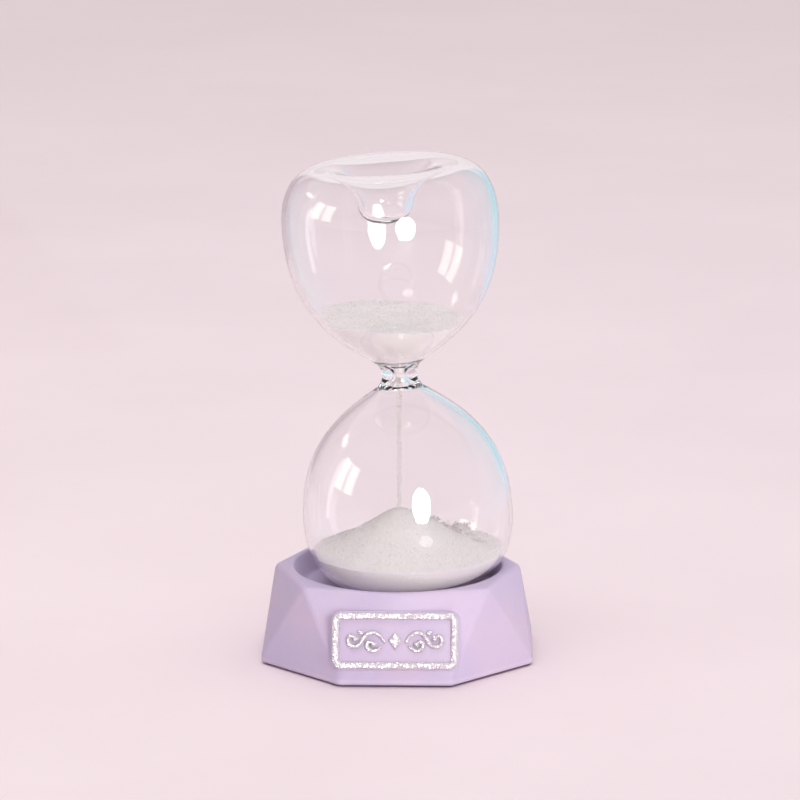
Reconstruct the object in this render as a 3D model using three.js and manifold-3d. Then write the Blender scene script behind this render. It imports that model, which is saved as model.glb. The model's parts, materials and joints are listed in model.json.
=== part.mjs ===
// Sand timer: a loose double-bulb glass standing in the round socket of a faceted cast base.
// Millimetres, +Z up. The origin is the middle of the foot pad's underside and the plaque faces -Y.
import * as THREE from "three";
import { ConvexGeometry } from "three/addons/geometries/ConvexGeometry.js";
import { mergeVertices } from "three/addons/utils/BufferGeometryUtils.js";
import Module from "manifold-3d";

const wasm = await Module();
wasm.setup();

// ---- driving dimensions ----
const fitGap = 0.3; // clearance between pieces that touch
const roundSegments = 36; // facets round every turned piece

// base: an eight-sided foot twisted an eighth of a turn against the eight-cornered top
const baseHeight = 28.2;
const footApothem = 43.4; // middle to one side of the foot
const plinthHeight = 2.1; // upright band under the slanted facets
const topMiddleRadius = 36.8; // top corner in the middle of the front
const topCornerRadius = 41.6; // the two beside it
const topSideRadius = 39.4; // left and right
const topBackRadius = 38; // the three round the back
const socketRadius = 33.7; // mouth of the socket
const socketFloorRadius = 30.2;
const socketDepth = 6.5;

// foot pad, let into the underside
const padRadius = 36;
const padThickness = 1.2;
const padProud = 0.4;

// plaque on the front facet
const plaqueWidth = 40.7;
const plaqueHeight = 18.8;
const plaqueCorner = 3.4;
const plaqueProud = 1.2; // above the facet
const plaqueSetIn = 4.4; // into its pocket, past where the facets fall away
const plaqueCentreHeight = 14.5;
const borderInset = 0.5; // plaque edge to border
const borderWidth = 2.2;
const borderRise = 1.0;
const strokeRadius = 0.55; // scrollwork on the plaque
const leafHalfWidth = 0.95;
const leafHalfHeight = 0.7;

// glass
const glassWall = 1.4;
const leanDegrees = 3.4; // the glass stands loose and leans towards -X
const neckOffset = 0.5; // neck's middle from the base's axis, along X
const neckHalfLength = 4.0;
const neckWaist = 5.6;
const neckFlare = 7.3;
const boreRadius = 1.3; // at the waist
const boreMouth = 3.4; // at the neck's ends
const neckSlope = 35; // degrees, where a bulb leaves the neck
const fillHoleRadius = 1.5; // closed by a seal at the tip of each dimple
const waistPull = 0.6; // the neck's curves aim this far inside its waist
const waistShare = { outer: 0.35, bore: 0.25 }; // half neck length to the curves' handles
const sealSize = { footShare: 0.8, crownShare: 0.7, shoulder: 0.5, dome: 0.8 };
// a dimple's curve handles, as shares of the ridge or throat radius and of the dimple's depth
const funnelPull = { lip: 0.68, bend: 0.46, bendDepth: 0.26 };
const throatAt = 0.68;
const tipPull = { side: 0.96, sideDepth: 0.88, bottom: 0.78 };
const upperSize = {
  widest: 34.6, widestAt: 50.1, reach: 68.3, ridge: 20.5, throat: 7.6,
  neckPull: 12.9, sidePull: 29.7, shoulderPull: 9.9, ridgePull: 10.3, dimpleDepth: 17.3,
};
const lowerSize = {
  widest: 33.8, widestAt: 46.5, reach: 68, ridge: 20, throat: 7.4,
  neckPull: 12.9, sidePull: 26.5, shoulderPull: 11, ridgePull: 9, dimpleDepth: 17,
};

// sand
const upperSandLevel = 19.6; // surface above the neck's middle
const craterDepth = 1.6;
const craterRings = [[1, 0], [0.55, 0.15], [0.25, 0.6], [0, 1]]; // shares of radius and depth
const heapPeak = 44.4; // below the neck's middle
const heapSkirt = 14.1; // how far the heap's edge lies below its peak
const heapRadius = 36;
const heapPull = { crown: 0.2, flank: 0.4, flankDrop: 0.84 }; // shares of radius and skirt
const streamRadius = 0.85;
const streamFootRadius = 0.65;
const streamMouthShare = 0.7; // of the bore's mouth, where the sand runs in
const streamWaistRise = 0.4; // above the neck's middle, where it starts to widen

// ---- derived places ----
const baseBottom = padProud;
const baseTop = baseBottom + baseHeight;
const plinthTop = baseBottom + plinthHeight;
const socketFloor = baseTop - socketDepth;
const lean = THREE.MathUtils.degToRad(leanDegrees);
const facetSlope = Math.atan2(footApothem - topMiddleRadius, baseTop - plinthTop);

// ---- materials ----
const finish = (color, roughness, metalness = 0, more = {}) =>
  new THREE.MeshStandardMaterial({ color, roughness, metalness, ...more });
const lavenderResin = finish(0xc9b4de, 0.62);
const plaqueResin = finish(0xc6b2dd, 0.55);
const glitterPaint = finish(0xe6e1ea, 0.3, 0.55);
const clearGlass = () => finish(0xf6eef2, 0.03, 0, { transparent: true, opacity: 0.3 });
const whiteSand = () => finish(0xf1ece4, 0.9);
const padRubber = finish(0xd8d3d6, 0.85);

// ---- helpers ----
const point = (x, y) => new THREE.Vector2(x, y);

function curvePoints(start, handleA, handleB, end, steps) {
  return new THREE.CubicBezierCurve(start, handleA, handleB, end).getPoints(steps);
}

function signedVolume(geometry) {
  const at = geometry.getAttribute("position");
  const [a, b, c] = [new THREE.Vector3(), new THREE.Vector3(), new THREE.Vector3()];
  let volume = 0;
  for (let i = 0; i < geometry.index.count; i += 3) {
    a.fromBufferAttribute(at, geometry.index.getX(i));
    b.fromBufferAttribute(at, geometry.index.getX(i + 1));
    c.fromBufferAttribute(at, geometry.index.getX(i + 2));
    volume += a.dot(b.cross(c)) / 6;
  }
  return volume;
}

// positions only, seam vertices joined, faces pointing out
function closedGeometry(geometry) {
  const plain = geometry.clone();
  for (const name of Object.keys(plain.attributes)) {
    if (name !== "position") plain.deleteAttribute(name);
  }
  const merged = mergeVertices(plain, 1e-4);
  if (signedVolume(merged) < 0) {
    const index = Array.from(merged.index.array);
    for (let i = 0; i < index.length; i += 3) {
      [index[i + 1], index[i + 2]] = [index[i + 2], index[i + 1]];
    }
    merged.setIndex(index);
  }
  return merged;
}

function toSolid(geometry, matrix) {
  const closed = closedGeometry(geometry);
  if (matrix) closed.applyMatrix4(matrix);
  return new wasm.Manifold(new wasm.Mesh({
    numProp: 3,
    vertProperties: new Float32Array(closed.getAttribute("position").array),
    triVerts: new Uint32Array(closed.index.array),
  }));
}

function fromSolid(solid) {
  const mesh = solid.getMesh();
  const geometry = new THREE.BufferGeometry();
  geometry.setAttribute("position", new THREE.BufferAttribute(mesh.vertProperties, 3));
  geometry.setIndex(new THREE.BufferAttribute(mesh.triVerts, 1));
  return geometry;
}

// a turned piece; the profile is (radius, height) and stands up along +Z
function turned(profile) {
  const geometry = new THREE.LatheGeometry(profile, roundSegments);
  geometry.rotateX(Math.PI / 2);
  return closedGeometry(geometry);
}

// a turned ring whose profile closes on itself
function turnedRing(profile) {
  return turned([...profile, profile[0].clone()]);
}

function offsetProfile(points, distance) {
  return points.map((p, i) => {
    const before = points[Math.max(i - 1, 0)];
    const after = points[Math.min(i + 1, points.length - 1)];
    const along = after.clone().sub(before).normalize();
    return point(p.x - along.y * distance, p.y + along.x * distance);
  });
}

function named(name, geometry, material) {
  const mesh = new THREE.Mesh(geometry, material);
  mesh.name = name;
  return mesh;
}

// ---- base ----
function octagon(radiusAt, firstDegrees, height) {
  return Array.from({ length: 8 }, (_, i) => {
    const turn = THREE.MathUtils.degToRad(firstDegrees + 45 * i);
    return new THREE.Vector3(radiusAt(i) * Math.sin(turn), -radiusAt(i) * Math.cos(turn), height);
  });
}

// top corners from the front one, all the way round
const topRadii = [
  topMiddleRadius, topCornerRadius, topSideRadius, topBackRadius,
  topBackRadius, topBackRadius, topSideRadius, topCornerRadius,
];

function baseBlock() {
  const footRadius = footApothem / Math.cos(Math.PI / 8);
  return new ConvexGeometry([
    ...octagon(() => footRadius, 22.5, baseBottom),
    ...octagon(() => footRadius, 22.5, plinthTop),
    ...octagon((i) => topRadii[i], 0, baseTop),
  ]);
}

function socketTool() {
  const wallSlope = (socketRadius - socketFloorRadius) / socketDepth;
  return turned([
    point(0, socketFloor),
    point(socketFloorRadius, socketFloor),
    point(socketRadius + wallSlope, baseTop + 1),
    point(0, baseTop + 1),
  ]);
}

function disc(radius, low, high) {
  return turned([point(0, low), point(radius, low), point(radius, high), point(0, high)]);
}

function roundedRectangle(width, height, corner, Kind = THREE.Shape) {
  const [x, y] = [width / 2, height / 2];
  const outline = new Kind();
  outline.absarc(x - corner, y - corner, corner, 0, Math.PI / 2);
  outline.absarc(-x + corner, y - corner, corner, Math.PI / 2, Math.PI);
  outline.absarc(-x + corner, -y + corner, corner, Math.PI, 1.5 * Math.PI);
  outline.absarc(x - corner, -y + corner, corner, 1.5 * Math.PI, 2 * Math.PI);
  return outline;
}

function slab(shape, low, high) {
  const geometry = new THREE.ExtrudeGeometry(shape, {
    depth: high - low, bevelEnabled: false, curveSegments: 5,
  });
  geometry.translate(0, 0, low);
  return closedGeometry(geometry);
}

// X to the right, Y up the front facet and Z straight out of it
const plaqueGroup = new THREE.Group();
const facetY = -topMiddleRadius - (baseTop - plaqueCentreHeight) * Math.tan(facetSlope);
plaqueGroup.position.set(0, facetY, plaqueCentreHeight);
plaqueGroup.rotation.x = Math.PI / 2 - facetSlope;
plaqueGroup.updateMatrix();

function plaquePocket() {
  const grown = roundedRectangle(
    plaqueWidth + 2 * fitGap, plaqueHeight + 2 * fitGap, plaqueCorner + fitGap,
  );
  return slab(grown, -plaqueSetIn - fitGap, 3 * plaqueProud);
}

const padRecess = padThickness - padProud;
const baseBody = toSolid(baseBlock())
  .subtract(toSolid(socketTool()))
  .subtract(toSolid(disc(padRadius + fitGap, baseBottom - 1, baseBottom + padRecess + fitGap)))
  .subtract(toSolid(plaquePocket(), plaqueGroup.matrix));

const plaque = slab(
  roundedRectangle(plaqueWidth, plaqueHeight, plaqueCorner), -plaqueSetIn, plaqueProud,
);

const borderFoot = plaqueProud + fitGap;
const panelHalfWidth = plaqueWidth / 2 - borderInset - borderWidth;
const panelHalfHeight = plaqueHeight / 2 - borderInset - borderWidth;

function plaqueBorder() {
  const width = plaqueWidth - 2 * borderInset;
  const height = plaqueHeight - 2 * borderInset;
  const corner = plaqueCorner - borderInset;
  const frame = roundedRectangle(width, height, corner);
  frame.holes.push(
    roundedRectangle(2 * panelHalfWidth, 2 * panelHalfHeight, corner / 2, THREE.Path),
  );
  return slab(frame, borderFoot, borderFoot + borderRise);
}

// scrollwork: strokes drawn on the right half and mirrored to the left
const strokeHeight = borderFoot + strokeRadius;
function onPanel([x, y], side = 1) {
  return point(side * x * panelHalfWidth, y * panelHalfHeight);
}

function stroke(points, side, steps) {
  const route = new THREE.CatmullRomCurve3(
    points.map((place) => {
      const flat = onPanel(place, side);
      return new THREE.Vector3(flat.x, flat.y, strokeHeight);
    }),
  );
  const section = new THREE.Shape();
  section.absarc(0, 0, strokeRadius, 0, 2 * Math.PI);
  const geometry = new THREE.ExtrudeGeometry(section, {
    extrudePath: route, steps, curveSegments: 3,
  });
  return closedGeometry(geometry);
}

function leaf(side) {
  const middle = onPanel(leafPlace, side);
  const outline = new THREE.Shape();
  outline.absellipse(middle.x, middle.y, leafHalfWidth, leafHalfHeight, 0, 2 * Math.PI);
  return slab(outline, borderFoot, borderFoot + 2 * strokeRadius);
}

function lozenge() {
  const reach = onPanel(lozengeReach);
  const outline = new THREE.Shape([
    point(reach.x, 0), point(0, reach.y), point(-reach.x, 0), point(0, -reach.y),
  ]);
  return slab(outline, borderFoot, borderFoot + 2 * strokeRadius);
}

// places are shares of the half width and half height inside the border
const vinePoints = [
  [0.19, -0.06], [0.29, 0.28], [0.43, 0.39], [0.56, 0.13], [0.65, -0.21], [0.78, -0.25],
  [0.84, 0.01], [0.79, 0.24], [0.71, 0.1],
];
const tendrilPoints = [
  [0.25, -0.28], [0.35, -0.45], [0.47, -0.39], [0.5, -0.16], [0.44, -0.05], [0.38, -0.16],
];
const leafPlace = [0.62, 0.39];
const lozengeReach = [0.125, 0.43];

// ---- glass ----
// outer profile of one bulb, (radius, distance from the neck's middle), neck to fill hole
function bulbOuter(size) {
  const slope = THREE.MathUtils.degToRad(neckSlope);
  const start = point(neckFlare, neckHalfLength + fitGap / 2);
  const side = point(size.widest, size.widestAt);
  const ridge = point(size.ridge, size.reach);
  const flank = point(size.throat, size.reach - size.dimpleDepth * throatAt);
  const tip = point(fillHoleRadius, size.reach - size.dimpleDepth);
  const body = curvePoints(
    start,
    point(start.x + size.neckPull * Math.cos(slope), start.y + size.neckPull * Math.sin(slope)),
    point(side.x, side.y - size.sidePull),
    side, 9,
  );
  const shoulder = curvePoints(
    side,
    point(side.x, side.y + size.shoulderPull),
    point(ridge.x + size.ridgePull, ridge.y),
    ridge, 7,
  );
  const funnel = curvePoints(
    ridge,
    point(ridge.x * funnelPull.lip, ridge.y),
    point(ridge.x * funnelPull.bend, ridge.y - size.dimpleDepth * funnelPull.bendDepth),
    flank, 6,
  );
  const end = curvePoints(
    flank,
    point(flank.x * tipPull.side, ridge.y - size.dimpleDepth * tipPull.sideDepth),
    point(flank.x * tipPull.bottom, tip.y),
    tip, 4,
  );
  return [...body, ...shoulder.slice(1), ...funnel.slice(1), ...end.slice(1)];
}

// the inside of the wall, from the bore's mouth to the fill hole
function bulbInner(size, wall, mouthRadius) {
  const outer = bulbOuter(size);
  const clearOfMouth = offsetProfile(outer, wall)
    .filter((p) => p.y > neckHalfLength + wall && p.x > fillHoleRadius);
  return [point(mouthRadius, neckHalfLength + fitGap / 2), ...clearOfMouth];
}

function bulb(size) {
  const outer = bulbOuter(size);
  const inner = bulbInner(size, glassWall, boreMouth);
  const holeEdge = point(fillHoleRadius, outer.at(-1).y - glassWall);
  return turnedRing([...outer, holeEdge, ...inner.reverse()]);
}

function neck() {
  const half = neckHalfLength - fitGap / 2;
  const outerHandle = point(neckWaist - waistPull, half * waistShare.outer);
  const boreHandle = point(boreRadius - waistPull, half * waistShare.bore);
  const outer = curvePoints(
    point(neckFlare, -half), point(outerHandle.x, -outerHandle.y),
    outerHandle, point(neckFlare, half), 8,
  );
  const bore = curvePoints(
    point(boreMouth, half), boreHandle,
    point(boreHandle.x, -boreHandle.y), point(boreMouth, -half), 8,
  );
  return turnedRing([...outer, ...bore]);
}

// the melted plug in a dimple's fill hole
function seal(size) {
  const radius = fillHoleRadius - fitGap;
  const top = size.reach - size.dimpleDepth;
  return turned([
    point(0, top - glassWall),
    point(radius * sealSize.footShare, top - glassWall),
    point(radius, top - glassWall / 2),
    point(radius * sealSize.crownShare, top + sealSize.shoulder),
    point(0, top + sealSize.dome),
  ]);
}

// lean the glass about its neck, and stand it on the socket's floor
const seatReach = Math.max(
  ...bulbOuter(lowerSize).map((p) => p.y * Math.cos(lean) + p.x * Math.sin(lean)),
);
const neckHeight = socketFloor + fitGap + seatReach;
const glassGroup = new THREE.Group();
glassGroup.position.set(neckOffset, 0, neckHeight);
glassGroup.rotation.y = -lean;
glassGroup.updateMatrix();
const turnedOver = new THREE.Matrix4().makeRotationY(Math.PI);

// ---- sand ----
// the room inside a bulb, as a solid, less the clearance
function chamber(size) {
  const inner = bulbInner(size, glassWall + fitGap, boreMouth - fitGap);
  const low = inner[0].clone().setX(0);
  const high = inner.at(-1).clone().setX(0);
  return turned([low, ...inner, high]);
}

function craterTool(level) {
  const rim = upperSize.widest;
  return turned([
    point(0, neckHeight),
    point(rim, neckHeight),
    ...craterRings.map(([out, down]) => point(rim * out, level - craterDepth * down)),
  ]);
}

function heapTool(peak) {
  const flank = curvePoints(
    point(0, peak),
    point(heapRadius * heapPull.crown, peak),
    point(heapRadius * heapPull.flank, peak - heapSkirt * heapPull.flankDrop),
    point(heapRadius, peak - heapSkirt), 9,
  );
  return turned([...flank, point(heapRadius, socketFloor), point(0, socketFloor)]);
}

const streamPlace = new THREE.Matrix4().makeTranslation(neckOffset, 0, 0);
const upperRoom = toSolid(chamber(upperSize), glassGroup.matrix);
const lowerRoom = toSolid(
  chamber(lowerSize), new THREE.Matrix4().multiplyMatrices(glassGroup.matrix, turnedOver),
);
const sandUpper = upperRoom.intersect(toSolid(craterTool(neckHeight + upperSandLevel), streamPlace));
const sandLower = lowerRoom.intersect(toSolid(heapTool(neckHeight - heapPeak), streamPlace));

function stream() {
  const top = neckHeight + neckHalfLength - fitGap;
  return turned([
    point(0, neckHeight - heapPeak + fitGap),
    point(streamFootRadius, neckHeight - heapPeak + fitGap),
    point(streamRadius, neckHeight - neckHalfLength),
    point(streamRadius, neckHeight + streamWaistRise),
    point(boreMouth * streamMouthShare, top),
    point(0, top),
  ]);
}

// ---- assembly ----
plaqueGroup.add(
  named("name_plaque", plaque, plaqueResin),
  named("plaque_border", plaqueBorder(), glitterPaint),
  named("plaque_lozenge", lozenge(), glitterPaint),
);
for (const [side, sideName] of [[-1, "left"], [1, "right"]]) {
  plaqueGroup.add(
    named(`scroll_vine_${sideName}`, stroke(vinePoints, side, 22), glitterPaint),
    named(`scroll_tendril_${sideName}`, stroke(tendrilPoints, side, 16), glitterPaint),
    named(`scroll_leaf_${sideName}`, leaf(side), glitterPaint),
  );
}

const lowerHalf = new THREE.Group();
lowerHalf.rotation.y = Math.PI;
lowerHalf.add(
  named("lower_bulb", bulb(lowerSize), clearGlass()),
  named("lower_seal", seal(lowerSize), clearGlass()),
);
glassGroup.add(
  named("upper_bulb", bulb(upperSize), clearGlass()),
  named("upper_seal", seal(upperSize), clearGlass()),
  named("neck_joint", neck(), clearGlass()),
  lowerHalf,
);

const streamMesh = named("sand_stream", stream(), whiteSand());
streamMesh.position.x = neckOffset;

const timer = new THREE.Group();
timer.add(
  named("base_body", fromSolid(baseBody), lavenderResin),
  named("foot_pad", disc(padRadius, 0, padThickness), padRubber),
  plaqueGroup,
  glassGroup,
  named("sand_upper", fromSolid(sandUpper), whiteSand()),
  named("sand_lower", fromSolid(sandLower), whiteSand()),
  streamMesh,
);

export default timer;
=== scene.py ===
import json
import math
import random
import bmesh
import bpy
from mathutils import Matrix, Vector, geometry, noise


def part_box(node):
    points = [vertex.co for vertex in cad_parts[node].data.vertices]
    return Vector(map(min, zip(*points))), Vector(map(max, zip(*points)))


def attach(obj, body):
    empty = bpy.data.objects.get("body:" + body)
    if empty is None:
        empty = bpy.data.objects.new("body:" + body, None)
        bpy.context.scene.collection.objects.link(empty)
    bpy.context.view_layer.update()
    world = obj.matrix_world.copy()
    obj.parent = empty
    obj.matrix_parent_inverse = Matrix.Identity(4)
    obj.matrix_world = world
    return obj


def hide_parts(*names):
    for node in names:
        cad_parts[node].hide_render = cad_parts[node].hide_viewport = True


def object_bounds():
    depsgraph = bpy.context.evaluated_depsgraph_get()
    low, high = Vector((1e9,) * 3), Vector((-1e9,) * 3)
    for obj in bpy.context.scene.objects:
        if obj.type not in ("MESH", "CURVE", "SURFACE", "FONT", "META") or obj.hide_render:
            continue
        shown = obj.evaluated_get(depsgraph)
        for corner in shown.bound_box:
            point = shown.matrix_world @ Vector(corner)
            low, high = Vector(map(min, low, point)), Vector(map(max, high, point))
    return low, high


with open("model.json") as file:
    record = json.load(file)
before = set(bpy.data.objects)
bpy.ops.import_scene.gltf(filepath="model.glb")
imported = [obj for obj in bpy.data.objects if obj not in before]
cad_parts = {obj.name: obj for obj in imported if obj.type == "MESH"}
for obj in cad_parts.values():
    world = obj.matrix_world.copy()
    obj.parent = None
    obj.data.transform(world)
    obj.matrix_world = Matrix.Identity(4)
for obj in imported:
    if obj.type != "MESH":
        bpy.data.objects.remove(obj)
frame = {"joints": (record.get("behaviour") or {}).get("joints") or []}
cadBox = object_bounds()
mm = 0.001
print("stage: frame loaded")

baseLow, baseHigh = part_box("base_body")
padLow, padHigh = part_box("foot_pad")
turnJoint = next(joint for joint in frame["joints"] if joint["name"] == "glass_turn")
neckPlace = Vector(turnJoint["pos_m"])


def newPiece(name, bm, smoothDegrees=40):
    mesh = bpy.data.meshes.new(name)
    bm.to_mesh(mesh)
    bm.free()
    piece = bpy.data.objects.new(name, mesh)
    bpy.context.scene.collection.objects.link(piece)
    softShade(piece, smoothDegrees)
    return piece


def softShade(piece, smoothDegrees):
    piece.data.shade_smooth()
    piece.data.set_sharp_from_angle(angle=math.radians(smoothDegrees))


def applyModifiers(piece):
    graph = bpy.context.evaluated_depsgraph_get()
    mesh = bpy.data.meshes.new_from_object(piece.evaluated_get(graph))
    piece.modifiers.clear()
    piece.data = mesh


def combine(piece, tool, operation):
    join = piece.modifiers.new("join", "BOOLEAN")
    join.operation = operation
    join.solver = "MANIFOLD"
    join.object = tool
    applyModifiers(piece)
    bpy.data.objects.remove(tool)


def spinProfile(points, steps):
    bm = bmesh.new()
    verts = [bm.verts.new((p.x, 0, p.y)) for p in points]
    edges = [bm.edges.new(pair) for pair in zip(verts, verts[1:])]
    bmesh.ops.spin(
        bm, geom=verts + edges, cent=(0, 0, 0), axis=(0, 0, 1), dvec=(0, 0, 0),
        angle=2 * math.pi, steps=steps, use_merge=True,
    )
    bmesh.ops.remove_doubles(bm, verts=bm.verts, dist=mm / 1000)
    bmesh.ops.recalc_face_normals(bm, faces=bm.faces)
    return bm


def addBmesh(bm, extra):
    carrier = bpy.data.meshes.new("carrier")
    extra.to_mesh(carrier)
    extra.free()
    bm.from_mesh(carrier)
    bpy.data.meshes.remove(carrier)


def curvePoints(start, handleA, handleB, end, count):
    return geometry.interpolate_bezier(start, handleA, handleB, end, count)


def offsetPoints(points, distance):  # to the left of the way along the points
    moved = []
    for i, p in enumerate(points):
        along = (points[min(i + 1, len(points) - 1)] - points[max(i - 1, 0)]).normalized()
        moved.append(Vector((p.x - along.y * distance, p.y + along.x * distance)))
    return moved


def roughen(bm, amount, size, seed):  # pushes every point along its normal by noise
    bm.normal_update()
    shift = Vector((seed, 2.0 * seed, 3.0 * seed))
    for v in bm.verts:
        v.co += v.normal * amount * noise.noise(v.co / size + shift)


def addNode(tree, kind, inputs=None, **settings):
    node = tree.nodes.new(kind)
    for key, value in settings.items():
        setattr(node, key, value)
    for key, value in (inputs or {}).items():
        if isinstance(value, bpy.types.NodeSocket):
            tree.links.new(value, node.inputs[key])
        else:
            node.inputs[key].default_value = value
    return node


def newGroup(name, inputs, outputs):
    tree = bpy.data.node_groups.new(name, "ShaderNodeTree")
    for label, kind, value in inputs:
        socket = tree.interface.new_socket(label, in_out="INPUT", socket_type=kind)
        if value is not None:
            socket.default_value = value
    for label, kind in outputs:
        tree.interface.new_socket(label, in_out="OUTPUT", socket_type=kind)
    return tree, tree.nodes.new("NodeGroupInput"), tree.nodes.new("NodeGroupOutput")


def mottleGroup():  # two shades that drift into each other, with fine specks
    tree, given, out = newGroup(
        "castMottle",
        [("Vector", "NodeSocketVector", None), ("Scale", "NodeSocketFloat", 60.0),
         ("Shade A", "NodeSocketColor", None), ("Shade B", "NodeSocketColor", None),
         ("Specks", "NodeSocketFloat", 0.1)],
        [("Color", "NodeSocketColor"), ("Mask", "NodeSocketFloat")],
    )
    drift = addNode(tree, "ShaderNodeTexNoise", {
        "Vector": given.outputs["Vector"], "Scale": given.outputs["Scale"],
        "Detail": 4.0, "Roughness": 0.55,
    })
    spread = addNode(tree, "ShaderNodeMapRange", {
        "Value": drift.outputs["Fac"], "From Min": 0.32, "From Max": 0.68,
    }, interpolation_type="SMOOTHSTEP")
    blend = addNode(tree, "ShaderNodeMix", data_type="RGBA")
    tree.links.new(spread.outputs["Result"], blend.inputs["Factor"])
    tree.links.new(given.outputs["Shade A"], blend.inputs[6])
    tree.links.new(given.outputs["Shade B"], blend.inputs[7])
    fine = addNode(tree, "ShaderNodeTexNoise", {
        "Vector": given.outputs["Vector"], "Scale": 2600.0, "Detail": 2.0,
    })
    speck = addNode(tree, "ShaderNodeMapRange", {
        "Value": fine.outputs["Fac"], "From Min": 0.56, "From Max": 0.74, "To Min": 1.0,
    })
    dark = addNode(tree, "ShaderNodeMath", {
        0: 1.0, 1: given.outputs["Specks"],
    }, operation="SUBTRACT")
    tree.links.new(dark.outputs[0], speck.inputs["To Max"])
    tone = addNode(tree, "ShaderNodeHueSaturation", {
        "Color": blend.outputs[2], "Value": speck.outputs["Result"],
    })
    tree.links.new(tone.outputs["Color"], out.inputs["Color"])
    tree.links.new(spread.outputs["Result"], out.inputs["Mask"])
    return tree


def flakeGroup():  # mirror flakes: which cells shine, their tint and their tipped normals
    tree, given, out = newGroup(
        "flakeField",
        [("Vector", "NodeSocketVector", None), ("Density", "NodeSocketFloat", 2500.0),
         ("Share", "NodeSocketFloat", 0.3), ("Tilt", "NodeSocketFloat", 0.8),
         ("Tint", "NodeSocketFloat", 0.25)],
        [("Mask", "NodeSocketFloat"), ("Color", "NodeSocketColor"), ("Normal", "NodeSocketVector")],
    )
    cells = addNode(tree, "ShaderNodeTexVoronoi", {
        "Vector": given.outputs["Vector"], "Scale": given.outputs["Density"],
    }, feature="F1")
    parts = addNode(tree, "ShaderNodeSeparateColor", {"Color": cells.outputs["Color"]})
    limit = addNode(tree, "ShaderNodeMath", {
        0: 1.0, 1: given.outputs["Share"],
    }, operation="SUBTRACT")
    mask = addNode(
        tree, "ShaderNodeMath", {0: parts.outputs["Red"], 1: limit.outputs[0]},
        operation="GREATER_THAN",
    )
    tint = addNode(tree, "ShaderNodeCombineColor", {
        "Red": parts.outputs["Green"], "Green": given.outputs["Tint"], "Blue": 1.0,
    }, mode="HSV")
    centred = addNode(tree, "ShaderNodeVectorMath", {
        0: cells.outputs["Color"], 1: (0.5, 0.5, 0.5),
    }, operation="SUBTRACT")
    tipped = addNode(tree, "ShaderNodeVectorMath", {
        0: centred.outputs[0], "Scale": given.outputs["Tilt"],
    }, operation="SCALE")
    surface = addNode(tree, "ShaderNodeNewGeometry")
    summed = addNode(tree, "ShaderNodeVectorMath", {
        0: surface.outputs["Normal"], 1: tipped.outputs[0],
    }, operation="ADD")
    unit = addNode(tree, "ShaderNodeVectorMath", {0: summed.outputs[0]}, operation="NORMALIZE")
    tree.links.new(mask.outputs[0], out.inputs["Mask"])
    tree.links.new(tint.outputs["Color"], out.inputs["Color"])
    tree.links.new(unit.outputs[0], out.inputs["Normal"])
    return tree


def grainGroup():  # heights of packed grains over a broader unevenness
    tree, given, out = newGroup(
        "grainHeight",
        [("Vector", "NodeSocketVector", None), ("Grain", "NodeSocketFloat", 2800.0),
         ("Broad", "NodeSocketFloat", 300.0), ("Broad Share", "NodeSocketFloat", 0.5)],
        [("Height", "NodeSocketFloat")],
    )
    grain = addNode(tree, "ShaderNodeTexVoronoi", {
        "Vector": given.outputs["Vector"], "Scale": given.outputs["Grain"],
    }, feature="F1")
    dome = addNode(tree, "ShaderNodeMath", {
        0: 1.0, 1: grain.outputs["Distance"],
    }, operation="SUBTRACT")
    broad = addNode(tree, "ShaderNodeTexNoise", {
        "Vector": given.outputs["Vector"], "Scale": given.outputs["Broad"], "Detail": 5.0,
    })
    blend = addNode(tree, "ShaderNodeMix", {
        "Factor": given.outputs["Broad Share"], 2: dome.outputs[0], 3: broad.outputs["Fac"],
    }, data_type="FLOAT")
    tree.links.new(blend.outputs[0], out.inputs["Height"])
    return tree


def rubGroup():  # edges that handling has worn a little paler
    tree, given, out = newGroup(
        "edgeRub",
        [("Vector", "NodeSocketVector", None), ("Strength", "NodeSocketFloat", 0.5)],
        [("Mask", "NodeSocketFloat")],
    )
    surface = addNode(tree, "ShaderNodeNewGeometry")
    edge = addNode(tree, "ShaderNodeMapRange", {
        "Value": surface.outputs["Pointiness"], "From Min": 0.5, "From Max": 0.6,
    })
    patch = addNode(tree, "ShaderNodeTexNoise", {
        "Vector": given.outputs["Vector"], "Scale": 180.0, "Detail": 4.0,
    })
    broken = addNode(tree, "ShaderNodeMath", {
        0: edge.outputs["Result"], 1: patch.outputs["Fac"],
    }, operation="MULTIPLY")
    scaled = addNode(tree, "ShaderNodeMath", {
        0: broken.outputs[0], 1: given.outputs["Strength"],
    }, operation="MULTIPLY", use_clamp=True)
    tree.links.new(scaled.outputs[0], out.inputs["Mask"])
    return tree


groups = {"mottle": mottleGroup(), "flakes": flakeGroup(), "grain": grainGroup(), "rub": rubGroup()}


def newMaterial(name, values):
    material = bpy.data.materials.new(name)
    material.use_nodes = True
    tree = material.node_tree
    shader = tree.nodes["Principled BSDF"]
    for key, value in values.items():
        shader.inputs[key].default_value = value
    place = addNode(tree, "ShaderNodeTexCoord").outputs["Object"]
    return material, tree, shader, place


def useGroup(tree, name, inputs):
    return addNode(tree, "ShaderNodeGroup", inputs, node_tree=groups[name])


def mixColor(tree, factor, a, b):
    node = addNode(tree, "ShaderNodeMix", {"Factor": factor, 6: a, 7: b}, data_type="RGBA")
    return node.outputs[2]


def mapped(tree, value, low, high):
    node = addNode(tree, "ShaderNodeMapRange", {"Value": value, "To Min": low, "To Max": high})
    return node.outputs["Result"]


def bumpFrom(tree, height, strength, distance, normal=None):
    inputs = {"Height": height, "Strength": strength, "Distance": distance}
    if normal is not None:
        inputs["Normal"] = normal
    return addNode(tree, "ShaderNodeBump", inputs).outputs["Normal"]


def mottled(tree, place, look):
    return useGroup(tree, "mottle", {
        "Vector": place, "Scale": look["drift"], "Shade A": look["shadeA"],
        "Shade B": look["shadeB"], "Specks": look["specks"],
    })


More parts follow.
